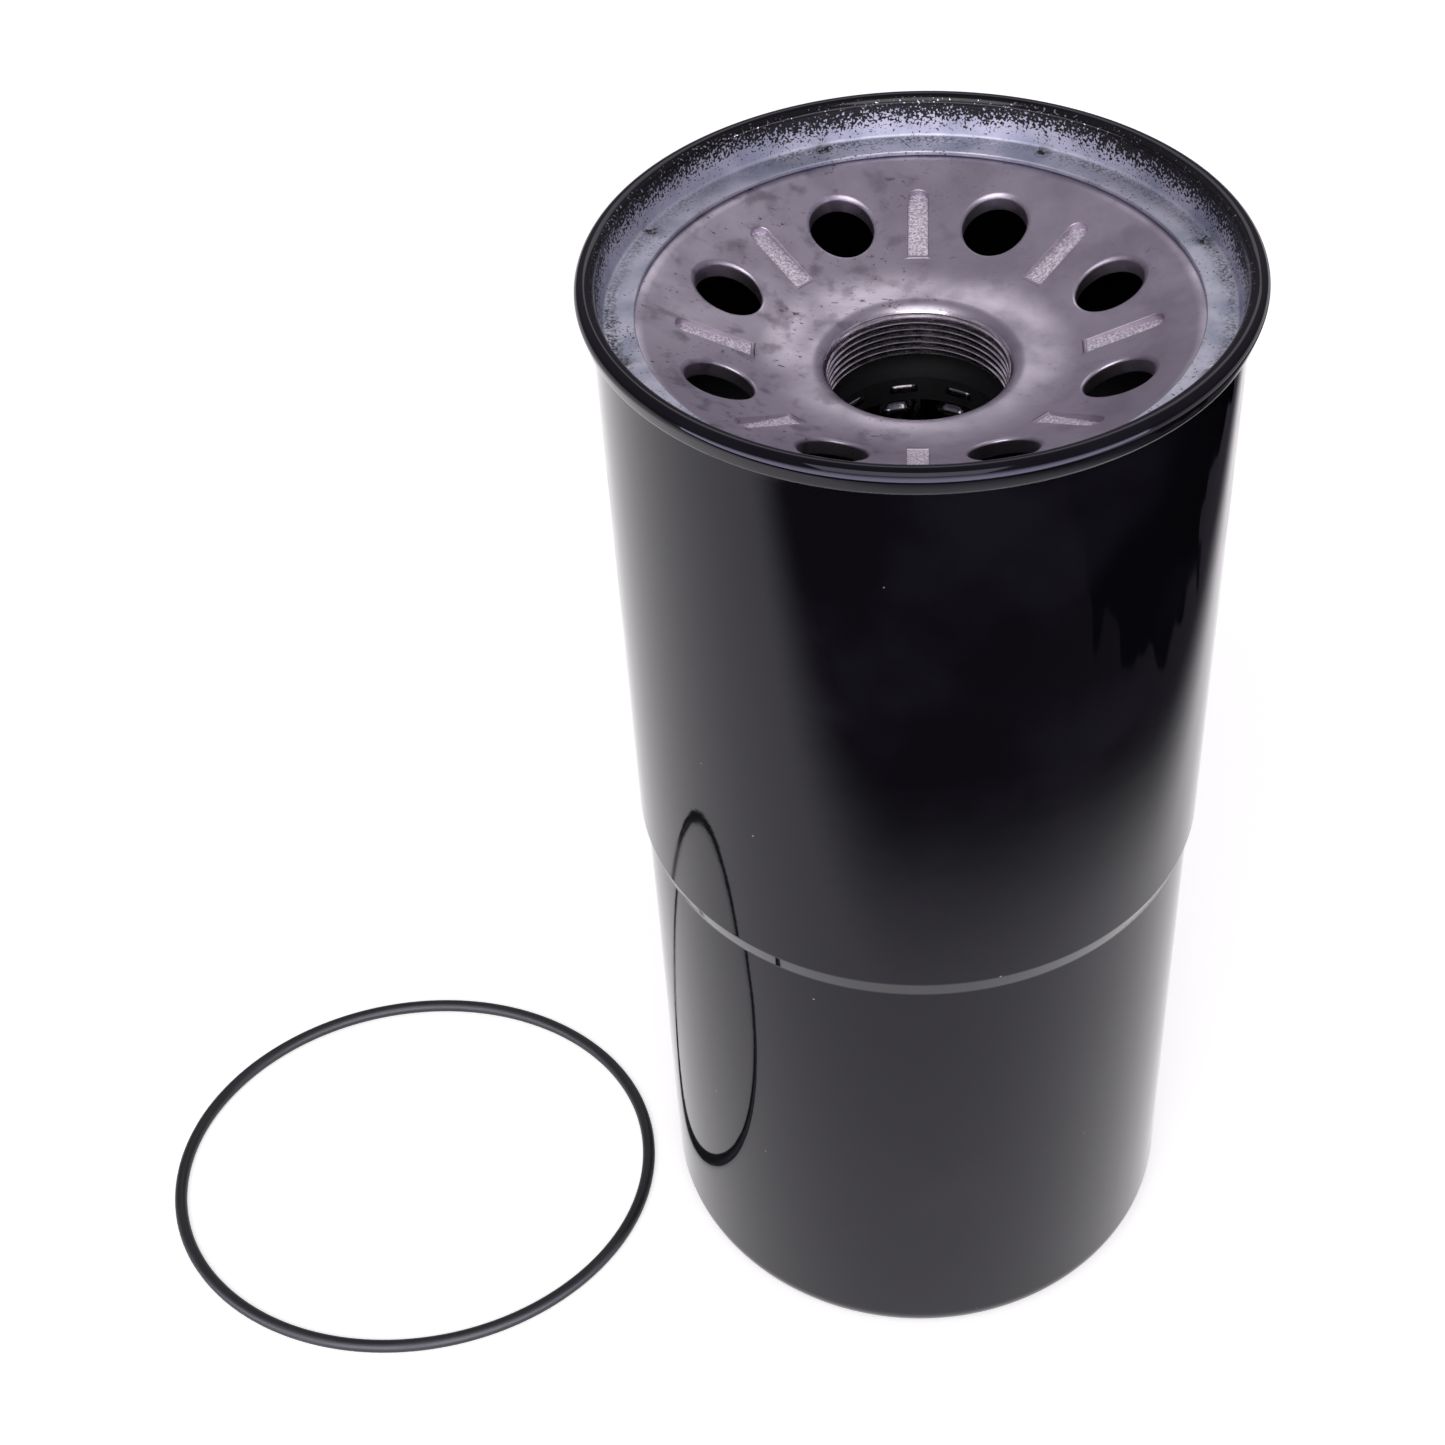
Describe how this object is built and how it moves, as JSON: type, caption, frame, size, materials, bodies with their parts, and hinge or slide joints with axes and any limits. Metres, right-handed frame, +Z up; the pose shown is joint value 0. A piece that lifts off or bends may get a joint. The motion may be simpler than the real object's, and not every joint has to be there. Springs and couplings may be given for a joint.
{
  "type": "spin-on oil filter",
  "caption": "Tall spin-on oil filter canister with a stepped black can, dished threaded base plate with round inlet holes, and a loose O-ring beside it.",
  "frame": {"origin": "centre of the can's flat bottom face, on the surface the filter stands on", "axes": "+Z up along the filter's axis, towards the threaded open end; +X to the right as seen from the front, the loose O-ring lies on the -X side"},
  "size_m": [0.2695, 0.1419, 0.2792],
  "materials": {
    "black_enamel": "high-gloss black enamel over drawn steel",
    "zinc_plate": "zinc-plated pressed steel, black enamel overspray at the rolled lip",
    "sealing_compound": "cured can-seam sealing compound",
    "bare_steel": "bare pressed steel, oiled and scuffed",
    "seal_rubber": "matte moulded rubber",
    "cap_steel": "tin-plated pressed steel",
    "plastisol": "cured bonding compound",
    "filter_paper": "resin-treated pleated filter paper",
    "clip_steel": "folded bright steel strip",
    "band_fibre": "wrapped fibre band",
    "oiled_steel": "dark oiled louvred steel",
    "cage_steel": "pressed steel",
    "spring_steel": "oil-tempered spring wire",
    "nitrile_rubber": "matte nitrile rubber"
  },
  "bodies": {
    "housing": {"outer_can": "black_enamel", "seaming_ring": "zinc_plate", "seam_sealant": "sealing_compound", "base_plate": "bare_steel", "element_spring": "spring_steel"},
    "element": {"inner_seal": "seal_rubber", "top_end_cap": "cap_steel", "top_potting": "plastisol", "pleated_media": "filter_paper", "media_seam_clip": "clip_steel", "pleat_bands": "band_fibre", "centre_tube": "oiled_steel", "bottom_potting": "plastisol", "bottom_end_cap": "cap_steel", "bypass_cage": "cage_steel", "bypass_spring": "spring_steel", "spring_cup": "cap_steel"},
    "bypass_valve": {"bypass_poppet": "cage_steel", "poppet_washer": "seal_rubber"},
    "loose_o_ring": {"o_ring": "nitrile_rubber"}
  },
  "joints": [
    {"name": "element_float", "type": "slide", "parent": "housing", "child": "element", "axis": [0, 0, -1], "range_m": [0, 0.004], "stiffness_N_per_m": 12000, "springref_m": -0.008, "deforming": ["element_spring"]},
    {"name": "bypass_lift", "type": "slide", "parent": "element", "child": "bypass_valve", "axis": [0, 0, 1], "range_m": [0, 0.005], "stiffness_N_per_m": 1500, "springref_m": -0.012, "deforming": ["bypass_spring"]},
    {"name": "o_ring_lift", "type": "slide", "parent": "housing", "child": "loose_o_ring", "axis": [0, 0, 1], "range_m": [0, 0.3]}
  ]
}
